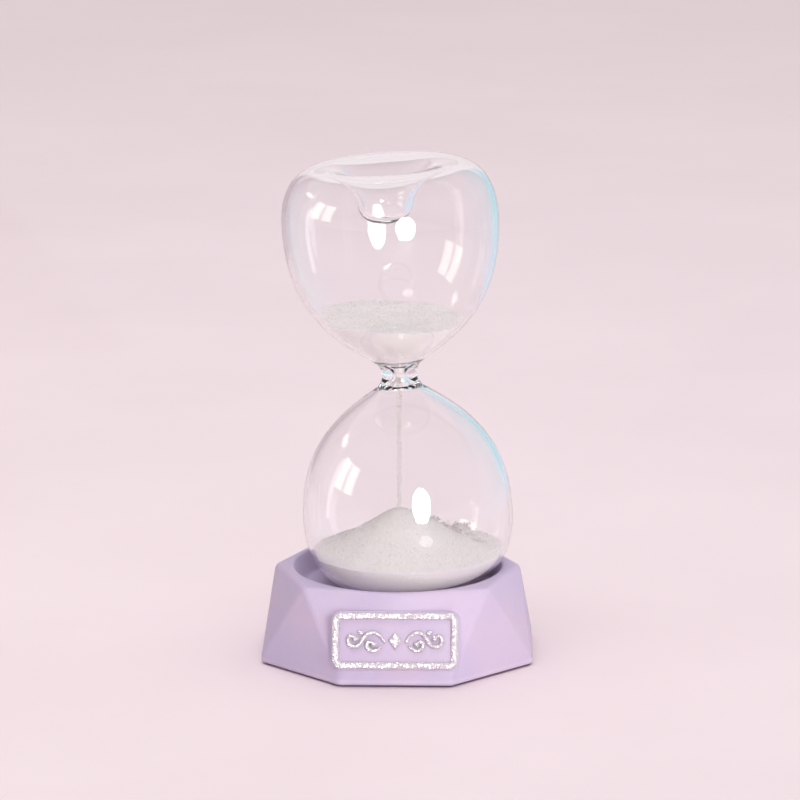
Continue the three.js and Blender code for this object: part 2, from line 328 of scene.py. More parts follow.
def grainBump(tree, place, look, normal=None):
    grain = useGroup(tree, "grain", {
        "Vector": place, "Grain": look["grain"], "Broad": look["broad"],
        "Broad Share": look["broadShare"],
    })
    return bumpFrom(tree, grain.outputs["Height"], look["bump"], look["depth"], normal)


resinLook = {
    "shadeA": (0.585, 0.508, 0.71, 1), "shadeB": (0.645, 0.535, 0.695, 1),
    "rubbed": (0.80, 0.72, 0.86, 1), "drift": 38.0, "specks": 0.05, "rub": 0.55,
    "grain": 1900.0, "broad": 260.0, "broadShare": 0.75, "bump": 0.35, "depth": 0.06 * mm,
    "roughness": 0.6, "roughnessSpread": 0.06,
}


def castResin(name, look):
    material, tree, shader, place = newMaterial(name, {
        "Subsurface Weight": 0.12, "Subsurface Radius": (1.0, 0.8, 1.0),
        "Subsurface Scale": 1.6 * mm, "Specular IOR Level": 0.42, "IOR": 1.5,
    })
    mottle = mottled(tree, place, look)
    rub = useGroup(tree, "rub", {"Vector": place, "Strength": look["rub"]})
    colour = mixColor(tree, rub.outputs["Mask"], mottle.outputs["Color"], look["rubbed"])
    low = look["roughness"] - look["roughnessSpread"]
    high = look["roughness"] + look["roughnessSpread"]
    tree.links.new(colour, shader.inputs["Base Color"])
    tree.links.new(mapped(tree, mottle.outputs["Mask"], low, high), shader.inputs["Roughness"])
    tree.links.new(grainBump(tree, place, look), shader.inputs["Normal"])
    return material


panelLook = dict(
    resinLook, shadeA=(0.575, 0.48, 0.675, 1), shadeB=(0.63, 0.53, 0.695, 1), drift=90.0,
    bump=0.2, roughness=0.5,
)

paintLook = {
    "shadeA": (0.74, 0.665, 0.735, 1), "shadeB": (0.60, 0.52, 0.61, 1), "drift": 900.0,
    "specks": 0.15, "density": 5200.0, "share": 0.42, "tilt": 1.1, "tint": 0.14,
    "grain": 2200.0, "broad": 700.0, "broadShare": 0.4, "bump": 0.7, "depth": 0.11 * mm,
}


def glitterPaint(look):
    material, tree, shader, place = newMaterial("glitter_paint", {
        "Coat Roughness": 0.08, "Specular IOR Level": 0.6,
    })
    flakes = useGroup(tree, "flakes", {
        "Vector": place, "Density": look["density"], "Share": look["share"],
        "Tilt": look["tilt"], "Tint": look["tint"],
    })
    mottle = mottled(tree, place, look)
    flakeMask = flakes.outputs["Mask"]
    colour = mixColor(tree, flakeMask, mottle.outputs["Color"], flakes.outputs["Color"])
    normal = grainBump(tree, place, look, flakes.outputs["Normal"])
    tree.links.new(colour, shader.inputs["Base Color"])
    tree.links.new(mapped(tree, flakeMask, 0.0, 0.85), shader.inputs["Metallic"])
    tree.links.new(mapped(tree, flakeMask, 0.42, 0.16), shader.inputs["Roughness"])
    tree.links.new(mapped(tree, mottle.outputs["Mask"], 0.25, 0.7), shader.inputs["Coat Weight"])
    tree.links.new(normal, shader.inputs["Normal"])
    return material


# the glint shade is a whiter colour painted onto the flake cells as a painted glint; only the coat
# on those cells catches real glints
sandLook = {
    "shadeA": (0.955, 0.91, 0.885, 1), "shadeB": (0.935, 0.915, 0.85, 1),
    "paintedGlint": (1, 0.985, 0.965, 1), "drift": 45.0, "specks": 0.05, "density": 2100.0,
    "share": 0.28, "grain": 2900.0, "broad": 500.0, "broadShare": 0.3, "bump": 0.6,
    "depth": 0.2 * mm,
}


def sparklingSand(look):
    material, tree, shader, place = newMaterial("white_sand", {
        "Roughness": 0.8, "Sheen Weight": 0.2, "Sheen Roughness": 0.5, "Coat Roughness": 0.1,
        "Subsurface Weight": 0.45, "Subsurface Radius": (1.0, 0.95, 0.9),
        "Subsurface Scale": 5.0 * mm,
    })
    mottle = mottled(tree, place, look)
    flakes = useGroup(tree, "flakes", {
        "Vector": place, "Density": look["density"], "Share": look["share"],
    })
    # the flake cells get the glint shade in their base colour, a painted glint, on top of their real
    # coat glints
    colour = mixColor(tree, flakes.outputs["Mask"], mottle.outputs["Color"], look["paintedGlint"])
    tree.links.new(colour, shader.inputs["Base Color"])
    tree.links.new(mapped(tree, flakes.outputs["Mask"], 0.0, 0.8), shader.inputs["Coat Weight"])
    tree.links.new(grainBump(tree, place, look), shader.inputs["Normal"])
    return material


padLook = {
    "shadeA": (0.70, 0.67, 0.69, 1), "shadeB": (0.78, 0.75, 0.77, 1), "drift": 120.0,
    "specks": 0.25, "grain": 1600.0, "broad": 400.0, "broadShare": 0.35, "bump": 0.6,
    "depth": 0.2 * mm,
}


def foamRubber(look):
    material, tree, shader, place = newMaterial("pad_rubber", {"Specular IOR Level": 0.3})
    mottle = mottled(tree, place, look)
    tree.links.new(mottle.outputs["Color"], shader.inputs["Base Color"])
    tree.links.new(mapped(tree, mottle.outputs["Mask"], 0.82, 0.94), shader.inputs["Roughness"])
    tree.links.new(grainBump(tree, place, look), shader.inputs["Normal"])
    return material


glassLook = {
    "tint": (0.985, 0.985, 0.99, 1), "index": 1.47, "roughness": 0.0,
    "passed": (0.95, 0.94, 0.95, 1), "waves": 70.0, "waveStrength": 0.1, "waveDepth": 0.12 * mm,
}


def blownGlass(look):
    material, tree, shader, place = newMaterial("clear_glass", {
        "Base Color": look["tint"], "IOR": look["index"], "Roughness": look["roughness"],
        "Transmission Weight": 1.0,
    })
    waves = addNode(tree, "ShaderNodeTexNoise", {
        "Vector": place, "Scale": look["waves"], "Detail": 1.5, "Roughness": 0.4,
    })
    tree.links.new(
        bumpFrom(tree, waves.outputs["Fac"], look["waveStrength"], look["waveDepth"]),
        shader.inputs["Normal"],
    )
    passing = addNode(tree, "ShaderNodeBsdfTransparent", {"Color": look["passed"]})
    path = addNode(tree, "ShaderNodeLightPath")
    soft = addNode(tree, "ShaderNodeMath", {
        0: path.outputs["Is Shadow Ray"], 1: path.outputs["Is Diffuse Ray"],
    }, operation="MAXIMUM")
    blend = addNode(tree, "ShaderNodeMixShader", {
        0: soft.outputs[0], 1: shader.outputs["BSDF"], 2: passing.outputs["BSDF"],
    })
    tree.links.new(blend.outputs["Shader"], tree.nodes["Material Output"].inputs["Surface"])
    return material


finishes = {
    "resin": castResin("lavender_resin", resinLook),
    "plaque_resin": castResin("panel_resin", panelLook),
    "glitter_paint": glitterPaint(paintLook),
    "white_sand": sparklingSand(sandLook),
    "pad_rubber": foamRubber(padLook),
    "clear_glass": blownGlass(glassLook),
}
print("stage: materials ready")


def settle(piece, body, slot, replaced=()):  # finish, body and the nodes that a piece stands for
    piece.data.materials.clear()
    piece.data.materials.append(finishes[slot])
    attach(piece, body)
    if replaced:
        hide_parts(*replaced)
    return piece


baseShape = {
    "topMiddleRadius": 36.8 * mm, "topCornerRadius": 41.6 * mm, "topSideRadius": 39.4 * mm,
    "topBackRadius": 38 * mm, "plinth": 2.1 * mm, "edgeRound": 1.1 * mm,
    "socketRadius": 33.7 * mm, "socketFloorRadius": 30.2 * mm, "socketDepth": 6.5 * mm,
    "lipRound": 1.3 * mm, "coveRound": 2.0 * mm, "steps": 160,
    "padSlack": 0.12 * mm, "padDeep": 0.8 * mm, "cutterReach": 2 * mm, "smoothDegrees": 32,
}
footApothem = baseHigh.x
facetSlope = math.atan2(
    footApothem - baseShape["topMiddleRadius"], baseHigh.z - baseLow.z - baseShape["plinth"],
)


def baseHull(shape):  # eight corners below, and the eight above sit half a side round from them
    footRadius = footApothem / math.cos(math.pi / 8)
    sides = [shape["topCornerRadius"], shape["topSideRadius"]]
    topRadii = [shape["topMiddleRadius"], *sides, *[shape["topBackRadius"]] * 3, *sides[::-1]]
    rings = [
        (baseLow.z, 0.5, [footRadius] * 8),
        (baseLow.z + shape["plinth"], 0.5, [footRadius] * 8),
        (baseHigh.z, 0, topRadii),
    ]
    bm = bmesh.new()
    for height, start, radii in rings:
        for i, radius in enumerate(radii):
            turn = (start + i) * math.pi / 4
            bm.verts.new((radius * math.sin(turn), -radius * math.cos(turn), height))
    bmesh.ops.convex_hull(bm, input=bm.verts)
    bmesh.ops.dissolve_limit(bm, angle_limit=math.radians(0.5), verts=bm.verts, edges=bm.edges)
    bmesh.ops.bevel(
        bm, geom=bm.edges, offset=shape["edgeRound"], segments=4, profile=0.5,
        affect="EDGES", material=-1, clamp_overlap=True,
    )
    bmesh.ops.recalc_face_normals(bm, faces=bm.faces)
    return bm


def socketProfile(shape):
    floor = baseHigh.z - shape["socketDepth"]
    mouth = Vector((shape["socketRadius"], baseHigh.z))
    foot = Vector((shape["socketFloorRadius"], floor))
    wall = (mouth - foot).normalized()
    cove = shape["coveRound"]
    lip = shape["lipRound"]
    coveCurve = curvePoints(foot - Vector((cove, 0)), foot, foot, foot + wall * cove, 9)
    lipCurve = curvePoints(
        mouth - wall * lip, mouth, mouth, mouth + Vector((lip, 0.02 * mm)), 11,
    )
    above = Vector((mouth.x + lip, baseHigh.z + shape["cutterReach"]))
    return [Vector((0, floor))] + coveCurve + lipCurve + [above, Vector((0, above.y))]


def facetPlace(shape, height):  # X right, Y up the front facet, Z out of it
    back = shape["topMiddleRadius"] + (baseHigh.z - height) * math.tan(facetSlope)
    place = Matrix.Translation((0, -back, height))
    return place @ Matrix.Rotation(math.pi / 2 - facetSlope, 4, "X")


plaqueShape = {
    "width": 40.7 * mm, "height": 18.8 * mm, "corner": 3.4 * mm, "proud": 1.2 * mm,
    "setIn": 4.3 * mm, "centre": 14.5 * mm, "edgeRound": 0.45 * mm, "slack": 0.02 * mm,
    "cutterReach": 6 * mm,
}
plaquePlace = facetPlace(baseShape, plaqueShape["centre"])


def roundedFace(width, height, corner, step=None):
    bm = bmesh.new()
    bmesh.ops.create_grid(bm, x_segments=1, y_segments=1, size=0.5)
    bmesh.ops.scale(bm, vec=(width, height, 1), verts=bm.verts)
    bmesh.ops.bevel(
        bm, geom=bm.verts, offset=corner, segments=10, profile=0.5, affect="VERTICES", material=-1,
    )
    if step:
        for edge in [e for e in bm.edges if e.calc_length() > 2 * corner]:
            bmesh.ops.subdivide_edges(bm, edges=[edge], cuts=round(edge.calc_length() / step))
    return bm


def thicken(bm, low, high):
    made = bmesh.ops.extrude_face_region(bm, geom=bm.faces[:], use_keep_orig=True)
    raised = [v for v in made["geom"] if isinstance(v, bmesh.types.BMVert)]
    bmesh.ops.translate(bm, vec=(0, 0, low), verts=bm.verts)
    bmesh.ops.translate(bm, vec=(0, 0, high - low), verts=raised)
    bmesh.ops.recalc_face_normals(bm, faces=bm.faces)
    return raised


def topEdges(bm, raised):
    top = set(raised)
    return [
        e for e in bm.edges
        if e.verts[0] in top and e.verts[1] in top and e.calc_face_angle(0) > math.radians(60)
    ]


def buildBase():
    shape = baseShape
    base = newPiece("cast_base", baseHull(shape))
    cutter = spinProfile(socketProfile(shape), shape["steps"])
    padRadius = padHigh.x + shape["padSlack"]
    recessTop = baseLow.z + shape["padDeep"] + shape["padSlack"]
    under = baseLow.z - shape["cutterReach"]
    recess = [(0, under), (padRadius, under), (padRadius, recessTop), (0, recessTop)]
    addBmesh(cutter, spinProfile([Vector(p) for p in recess], shape["steps"]))
    grown = 2 * plaqueShape["slack"]
    pocket = roundedFace(
        plaqueShape["width"] + grown, plaqueShape["height"] + grown, plaqueShape["corner"],
    )
    thicken(pocket, -plaqueShape["setIn"] - plaqueShape["slack"], plaqueShape["cutterReach"])
    bmesh.ops.transform(pocket, matrix=plaquePlace, verts=pocket.verts)
    addBmesh(cutter, pocket)
    combine(base, newPiece("base_cutter", cutter), "DIFFERENCE")
    softShade(base, shape["smoothDegrees"])
    return settle(base, "base", "resin", ["base_body"])


buildBase()
print("stage: base")


padShape = {"edge": 0.35 * mm, "steps": 128, "smoothDegrees": 30}


def buildPad(shape):
    edge = shape["edge"]
    radius = padHigh.x
    outline = [
        (0, padLow.z), (radius - edge, padLow.z), (radius, padLow.z + edge),
        (radius, padHigh.z - edge), (radius - edge, padHigh.z), (0, padHigh.z),
    ]
    spun = spinProfile([Vector(p) for p in outline], shape["steps"])
    pad = newPiece("foam_foot_pad", spun, shape["smoothDegrees"])
    return settle(pad, "base", "pad_rubber", ["foot_pad"])


buildPad(padShape)
print("stage: foot pad")


def buildPlaque(shape):
    bm = roundedFace(shape["width"], shape["height"], shape["corner"])
    raised = thicken(bm, -shape["setIn"], shape["proud"])
    bmesh.ops.bevel(
        bm, geom=topEdges(bm, raised), offset=shape["edgeRound"], segments=5, profile=0.5,
        affect="EDGES", material=-1,
    )
    bmesh.ops.transform(bm, matrix=plaquePlace, verts=bm.verts)
    return settle(newPiece("plaque_panel", bm, 30), "base", "plaque_resin", ["name_plaque"])


borderShape = {
    "inset": 0.45 * mm, "width": 2.3 * mm, "rise": 1.25 * mm, "sink": 0.15 * mm,
    "crown": 1.0 * mm, "step": 0.35 * mm, "wobble": 0.09 * mm, "wobbleSize": 0.9 * mm,
}


def buildBorder(shape):
    width = plaqueShape["width"] - 2 * shape["inset"]
    height = plaqueShape["height"] - 2 * shape["inset"]
    bm = roundedFace(width, height, plaqueShape["corner"] - shape["inset"], shape["step"])
    middle = bm.faces[:]
    bmesh.ops.inset_region(
        bm, faces=middle, thickness=shape["width"], use_even_offset=True, use_boundary=True,
    )
    bmesh.ops.delete(bm, geom=middle, context="FACES_ONLY")
    foot = plaqueShape["proud"]
    raised = thicken(bm, foot - shape["sink"], foot + shape["rise"])
    bmesh.ops.bevel(
        bm, geom=topEdges(bm, raised), offset=shape["crown"], segments=5, profile=0.5,
        affect="EDGES", material=-1,
    )
    roughen(bm, shape["wobble"], shape["wobbleSize"], 3)
    roughen(bm, shape["wobble"] * 0.8, shape["wobbleSize"] * 0.35, 8)
    bmesh.ops.transform(bm, matrix=plaquePlace, verts=bm.verts)
    return settle(newPiece("border_bead", bm, 60), "base", "glitter_paint", ["plaque_border"])


scrollShape = {
    "radius": 0.64 * mm, "sunk": 0.2 * mm, "halfWidth": 17.65 * mm, "halfHeight": 6.7 * mm,
    "vine": [(0.19, -0.06), (0.29, 0.28), (0.43, 0.39), (0.56, 0.13), (0.65, -0.21),
             (0.78, -0.25), (0.84, 0.01), (0.79, 0.24), (0.71, 0.1)],
    "tendril": [(0.25, -0.28), (0.35, -0.45), (0.47, -0.39), (0.5, -0.16), (0.44, -0.05),
                (0.38, -0.16)],
    "leaf": (0.62, 0.39), "leafSize": (1.05 * mm, 0.75 * mm, 0.7 * mm), "leafRise": 0.3 * mm,
    "lozenge": (0.125, 0.43), "lozengeSunk": 0.1 * mm, "lozengeRise": 1.0 * mm,
    "lozengeRound": 0.7 * mm, "startBall": 0.62, "endBall": 1.5, "thin": 0.62, "swell": 0.5,
    "wobble": 0.10 * mm, "wobbleSize": 0.45 * mm, "smoothDegrees": 60,
}


def onPanel(place, side=1):  # from shares of the panel's half width and half height
    across = side * place[0] * scrollShape["halfWidth"]
    return Vector((across, place[1] * scrollShape["halfHeight"], 0))


def strokePiece(name, points, side, replaced):
    shape = scrollShape
    line = bpy.data.curves.new(name, "CURVE")
    line.dimensions = "3D"
    line.bevel_depth = shape["radius"]
    line.bevel_resolution = 4
    line.resolution_u = 14
    line.use_fill_caps = True
    spline = line.splines.new("BEZIER")
    spline.bezier_points.add(len(points) - 1)
    height = plaqueShape["proud"] + shape["radius"] - shape["sunk"]
    last = len(points) - 1
    for i, (knot, place) in enumerate(zip(spline.bezier_points, points)):
        knot.co = onPanel(place, side) + Vector((0, 0, height))
        knot.handle_left_type = "AUTO"
        knot.handle_right_type = "AUTO"
        knot.radius = shape["thin"] + shape["swell"] * math.sin(math.pi * i / last)
    curve = bpy.data.objects.new(name, line)
    bpy.context.scene.collection.objects.link(curve)
    graph = bpy.context.evaluated_depsgraph_get()
    mesh = bpy.data.meshes.new_from_object(curve.evaluated_get(graph))
    bpy.data.objects.remove(curve)
    bm = bmesh.new()
    bm.from_mesh(mesh)
    # a soft start and a ball where the stroke curls in
    for knot, share in ((0, shape["startBall"]), (last, shape["endBall"])):
        ball = Matrix.Translation(onPanel(points[knot], side) + Vector((0, 0, height)))
        bmesh.ops.create_uvsphere(
            bm, u_segments=18, v_segments=10, radius=shape["radius"] * share, matrix=ball,
        )
    bmesh.ops.remove_doubles(bm, verts=bm.verts, dist=0.005 * mm)
    bmesh.ops.recalc_face_normals(bm, faces=bm.faces)
    roughen(bm, shape["wobble"], shape["wobbleSize"], 5 + side)
    bmesh.ops.transform(bm, matrix=plaquePlace, verts=bm.verts)
    piece = newPiece(f"paint_{name}", bm, shape["smoothDegrees"])
    return settle(piece, "base", "glitter_paint", replaced)


def buildScrolls(shape):
    for side, label in ((-1, "left"), (1, "right")):
        strokePiece(f"vine_{label}", shape["vine"], side, [f"scroll_vine_{label}"])
        strokePiece(f"tendril_{label}", shape["tendril"], side, [f"scroll_tendril_{label}"])
        leaf = bmesh.new()
        bmesh.ops.create_icosphere(leaf, subdivisions=4, radius=1)
        bmesh.ops.scale(leaf, vec=shape["leafSize"], verts=leaf.verts)
        lift = Vector((0, 0, plaqueShape["proud"] + shape["leafRise"]))
        middle = onPanel(shape["leaf"], side) + lift
        bmesh.ops.translate(leaf, vec=middle, verts=leaf.verts)
        roughen(leaf, shape["wobble"], shape["wobbleSize"], 9)
        bmesh.ops.transform(leaf, matrix=plaquePlace, verts=leaf.verts)
        piece = newPiece(f"paint_leaf_{label}", leaf, shape["smoothDegrees"])
        settle(piece, "base", "glitter_paint", [f"scroll_leaf_{label}"])
    reach = onPanel(shape["lozenge"])
    bm = bmesh.new()
    bmesh.ops.create_circle(bm, cap_ends=True, segments=4, radius=1)
    bmesh.ops.scale(bm, vec=(reach.x, reach.y, 1), verts=bm.verts)
    face = plaqueShape["proud"]
    raised = thicken(bm, face - shape["lozengeSunk"], face + shape["lozengeRise"])
    bmesh.ops.bevel(
        bm, geom=topEdges(bm, raised), offset=shape["lozengeRound"], segments=5, profile=0.5,
        affect="EDGES", material=-1,
    )
    bmesh.ops.subdivide_edges(
        bm, edges=[e for e in bm.edges if e.calc_length() > 0.8 * mm], cuts=6, use_grid_fill=True,
    )
    roughen(bm, shape["wobble"], shape["wobbleSize"], 4)
    bmesh.ops.transform(bm, matrix=plaquePlace, verts=bm.verts)
    lozenge = newPiece("paint_lozenge", bm, shape["smoothDegrees"])
    settle(lozenge, "base", "glitter_paint", ["plaque_lozenge"])


buildPlaque(plaqueShape)
buildBorder(borderShape)
buildScrolls(scrollShape)
print("stage: plaque")


glassShape = {
    "wall": 1.4 * mm, "tipWall": 1.65 * mm, "lean": 3.4, "steps": 144,
    "neckHalf": 4.0 * mm, "neckWaist": 5.0 * mm, "neckFlare": 7.3 * mm, "neckSlope": 35,
    "boreWaist": 0.9 * mm, "boreMouth": 3.6 * mm, "mouthDrop": 0.2 * mm, "shelfEdge": 1.1 * mm,
    "pipRadius": 1.2 * mm, "pipDrop": 0.45 * mm, "throatShift": 1.2 * mm,
}
funnelShape = {  # shares of the ridge's radius, the throat's radius and the dimple's depth
    "flankDeep": 0.68, "ridgePull": 0.68, "slopePull": 0.46, "slopeDeep": 0.26,
    "throatPull": 0.96, "throatDeep": 0.88, "tipPull": 0.78,
}
upperBulb = {
    "widest": 34.6 * mm, "widestAt": 50.1 * mm, "reach": 68.3 * mm, "ridge": 20.5 * mm,
    "throat": 7.6 * mm, "neckPull": 12.9 * mm, "sidePull": 29.7 * mm, "shoulderPull": 9.9 * mm,
    "ridgePull": 10.3 * mm, "dimple": 17.3 * mm, "shelf": 2.2 * mm,
}
lowerBulb = {
    "widest": 33.8 * mm, "widestAt": 46.5 * mm, "reach": 68.0 * mm, "ridge": 20.0 * mm,
    "throat": 7.4 * mm, "neckPull": 12.9 * mm, "sidePull": 26.5 * mm, "shoulderPull": 11.0 * mm,
    "ridgePull": 9.0 * mm, "dimple": 17.0 * mm, "shelf": 0.5 * mm,
}
glassLean = Matrix.Rotation(-math.radians(glassShape["lean"]), 4, "Y")
glassPlace = Matrix.Translation(neckPlace) @ glassLean


def bulbOuter(bulb):  # (radius, distance from the neck's middle), from the neck to the axis
    slope = math.radians(glassShape["neckSlope"])
    start = Vector((glassShape["neckFlare"], glassShape["neckHalf"]))
    side = Vector((bulb["widest"], bulb["widestAt"]))
    ridge = Vector((bulb["ridge"], bulb["reach"]))
    deep = bulb["dimple"]
    share = funnelShape
    flank = Vector((bulb["throat"], bulb["reach"] - share["flankDeep"] * deep))
    tip = Vector((0, bulb["reach"] - deep))
    body = curvePoints(
        start, start + bulb["neckPull"] * Vector((math.cos(slope), math.sin(slope))),
        side - Vector((0, bulb["sidePull"])), side, 44,
    )
    shoulder = curvePoints(
        side, side + Vector((0, bulb["shoulderPull"])),
        ridge + Vector((bulb["ridgePull"], 0)), ridge, 32,
    )
    funnel = curvePoints(
        ridge, Vector((share["ridgePull"] * ridge.x, ridge.y)),
        Vector((share["slopePull"] * ridge.x, ridge.y - share["slopeDeep"] * deep)), flank, 24,
    )
    end = curvePoints(
        flank, Vector((share["throatPull"] * flank.x, ridge.y - share["throatDeep"] * deep)),
        Vector((share["tipPull"] * flank.x, tip.y)), tip, 18,
    )
    return body + shoulder[1:] + funnel[1:] + end[1:]


def bulbInner(bulb, gap=0.0):  # the room's wall, from the bore's mouth to the axis
    outer = bulbOuter(bulb)
    halfDimple = bulb["reach"] - 0.5 * bulb["dimple"]
    tipFoot = bulb["reach"] - 1.05 * bulb["dimple"]
    inner = []
    for p, q in zip(outer, offsetPoints(outer, 1.0)):
        atTip = tipFoot < p.y < halfDimple and p.x < bulb["throat"]
        nearTip = 1 - p.x / bulb["throat"] if atTip else 0.0
        thick = glassShape["wall"] + (glassShape["tipWall"] - glassShape["wall"]) * nearTip + gap
        inner.append(p + (q - p) * thick)
    shelfTop = glassShape["neckHalf"] + bulb["shelf"] + gap
    walls = [p for p in inner if p.y > shelfTop + 0.9 * mm and p.x > 0]
    corner = Vector((walls[0].x - glassShape["shelfEdge"], shelfTop))
    mouthHeight = glassShape["neckHalf"] - glassShape["mouthDrop"] + gap
    mouth = Vector((glassShape["boreMouth"] - gap, mouthHeight))
    shelf = curvePoints(mouth, mouth.lerp(corner, 0.4), corner, walls[0], 12)
    pipRadius = glassShape["pipRadius"]
    pip = [
        Vector((pipRadius * math.cos(t), walls[-1].y - glassShape["pipDrop"] * math.sin(t)))
        for t in (0.5, 0.9, 1.3)
    ]
    walls = [p for p in walls if p.x > pipRadius * 1.15 or p.y > halfDimple]
    end = Vector((0, pip[-1].y - 0.03 * mm))
    return shelf[:-1] + walls + pip + [end]


def flipped(points):  # the other way up, for the lower half
    return [Vector((p.x, -p.y)) for p in points]


def neckCurve(end, waist, half, count):
    return curvePoints(
        Vector((end, half)), Vector((waist, 0.35 * half)), Vector((waist, -0.35 * half)),
        Vector((end, -half)), count,
    )


def outerProfile():
    neck = neckCurve(glassShape["neckFlare"], glassShape["neckWaist"], glassShape["neckHalf"], 26)
    return bulbOuter(upperBulb)[::-1] + neck[1:-1] + flipped(bulbOuter(lowerBulb))


def innerProfile(gap=0.0):
    upper = bulbInner(upperBulb, gap)
    lower = flipped(bulbInner(lowerBulb, gap))
    top, bottom = upper[0], lower[0]
    waist = glassShape["boreWaist"] - gap
    bore = curvePoints(
        top, Vector((waist, 0.25 * top.y)), Vector((waist, 0.25 * bottom.y)), bottom, 22,
    )
    return upper[::-1] + bore[1:-1] + lower


def shiftThroats(bm):  # the dimples were pushed in a little off the axis
    for v in bm.verts:
        bulb = upperBulb if v.co.z > 0 else lowerBulb
        radius = math.hypot(v.co.x, v.co.y)
        deep = (bulb["reach"] - abs(v.co.z)) / bulb["dimple"]
        if radius < bulb["ridge"] and 0 < deep < 1.3:
            share = max(0.0, 1 - radius / bulb["ridge"])
            v.co.x -= math.copysign(glassShape["throatShift"] * min(1.0, 1.6 * share), v.co.z)


def glassRoom(gap):  # the hollow inside the glass as a solid, faces out
    bm = spinProfile(innerProfile(gap), glassShape["steps"])
    shiftThroats(bm)
    bmesh.ops.transform(bm, matrix=glassPlace, verts=bm.verts)
    return bm


def buildGlass():
    bm = spinProfile(outerProfile(), glassShape["steps"])
    shiftThroats(bm)
    bmesh.ops.transform(bm, matrix=glassPlace, verts=bm.verts)
    room = glassRoom(0.0)
    bmesh.ops.reverse_faces(room, faces=room.faces)
    addBmesh(bm, room)
    glass = newPiece("blown_glass", bm, 180)
    parts = ["upper_bulb", "lower_bulb", "neck_joint", "upper_seal", "lower_seal"]
    return settle(glass, "glass", "clear_glass", parts)


buildGlass()
print("stage: glass")


sandGap = 0.03 * mm
upperSand = {
    "level": 18.9 * mm, "crater": 1.5 * mm, "craterSize": 13 * mm, "tilt": -0.028,
    "rough": 0.45 * mm, "roughSize": 7 * mm, "fine": 0.16 * mm, "fineSize": 1.3 * mm,
    "half": 27 * mm, "cells": 150, "looseReach": 25 * mm, "seed": 11,
}
lowerSand = {
    "peak": 44.3 * mm, "skirt": 14.1 * mm, "radius": 36 * mm, "tilt": 0.034,
    "rough": 0.45 * mm, "roughSize": 9 * mm, "fine": 0.14 * mm, "fineSize": 1.3 * mm,
    "ridge": (10.5 * mm, 3 * mm), "ridgeRise": 0.3 * mm, "ridgeSize": 4.5 * mm,
    "calmRadius": 8 * mm, "half": 35 * mm, "cells": 180, "looseReach": 33 * mm, "seed": 23,
}
heapLine = curvePoints(
    Vector((0, 0)), Vector((0.2 * lowerSand["radius"], 0)),
    Vector((0.4 * lowerSand["radius"], -0.84 * lowerSand["skirt"])),
    Vector((lowerSand["radius"], -lowerSand["skirt"])), 60,
)


def dunes(x, y, sand):
    p = Vector((x, y, 0))
    broad = noise.noise(p / sand["roughSize"] + Vector((sand["seed"], 0, 0)))
    fine = noise.noise(p / sand["fineSize"] + Vector((0, sand["seed"], 0)))
    return sand["rough"] * broad + sand["fine"] * fine


def upperHeight(x, y):
    dx = x - neckPlace.x
    bowl = math.exp(-(dx * dx + y * y) / upperSand["craterSize"] ** 2)
    level = neckPlace.z + upperSand["level"] + upperSand["tilt"] * dx
    return level - upperSand["crater"] * bowl + dunes(x, y, upperSand)


def heapDrop(radius):
    for a, b in zip(heapLine, heapLine[1:]):
        if radius <= b.x:
            return a.y + (b.y - a.y) * (radius - a.x) / (b.x - a.x)
    return heapLine[-1].y


def lowerHeight(x, y):
    dx = x - neckPlace.x
    radius = math.hypot(dx, y)
    ridge = math.hypot(dx - lowerSand["ridge"][0], y - lowerSand["ridge"][1])
    ridge /= lowerSand["ridgeSize"]
    height = neckPlace.z - lowerSand["peak"] + heapDrop(radius) + lowerSand["tilt"] * dx
    calm = min(1.0, radius / lowerSand["calmRadius"])
    height += lowerSand["ridgeRise"] * math.exp(-ridge * ridge)
    return height + dunes(x, y, lowerSand) * calm


def sandSolid(name, heightAt, low, sand):
    bm = bmesh.new()
    bmesh.ops.create_grid(bm, x_segments=sand["cells"], y_segments=sand["cells"], size=sand["half"])
    for v in bm.verts:
        v.co.z = heightAt(v.co.x, v.co.y)
    made = bmesh.ops.extrude_face_region(bm, geom=bm.faces[:], use_keep_orig=True)
    for v in made["geom"]:
        if isinstance(v, bmesh.types.BMVert):
            v.co.z = low
    bmesh.ops.recalc_face_normals(bm, faces=bm.faces)
    heap = newPiece(name, glassRoom(sandGap))
    combine(heap, newPiece("sand_tool", bm), "INTERSECT")
    softShade(heap, 50)
    return heap


def buildHeaps():
    upper = sandSolid("upper_sand_bed", upperHeight, neckPlace.z - 0.4 * mm, upperSand)
    settle(upper, "sand", "white_sand", ["sand_upper"])
    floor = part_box("sand_lower")[0].z - 2 * mm
    lower = sandSolid("lower_sand_heap", lowerHeight, floor, lowerSand)
    settle(lower, "sand", "white_sand", ["sand_lower"])


def wallRadius(bulb, along):  # inside radius at a distance from the neck
    wall = roomWalls[bulb["reach"]]
    best = 0.0
    for a, b in zip(wall, wall[1:]):
        if (a.y - along) * (b.y - along) <= 0 and a.y != b.y:
            best = max(best, a.x + (b.x - a.x) * (along - a.y) / (b.y - a.y))
    return best


roomWalls = {bulb["reach"]: bulbInner(bulb) for bulb in (upperBulb, lowerBulb)}
grainShape = {
    "size": (0.13 * mm, 0.26 * mm), "streamSize": (0.10 * mm, 0.2 * mm),
    "crumbSize": (0.3 * mm, 0.6 * mm), "straySize": (0.06 * mm, 0.13 * mm),
    "upperCount": 2600, "lowerCount": 5200, "streamCount": 2400, "strayCount": 260,
    "boreRadius": 1.3 * mm, "streamTop": 1.0 * mm, "streamFoot": 0.76 * mm, "streamRise": 1.0 * mm,
    "crumbs": (  # x, y, spread, grains
        (19.8, 6.0, 1.5, 760), (11.5, 6.5, 0.8, 110), (25.5, 1.0, 0.7, 50), (27.5, 2.0, 0.6, 40),
        (14.8, 7.5, 0.7, 60),
    ),
}


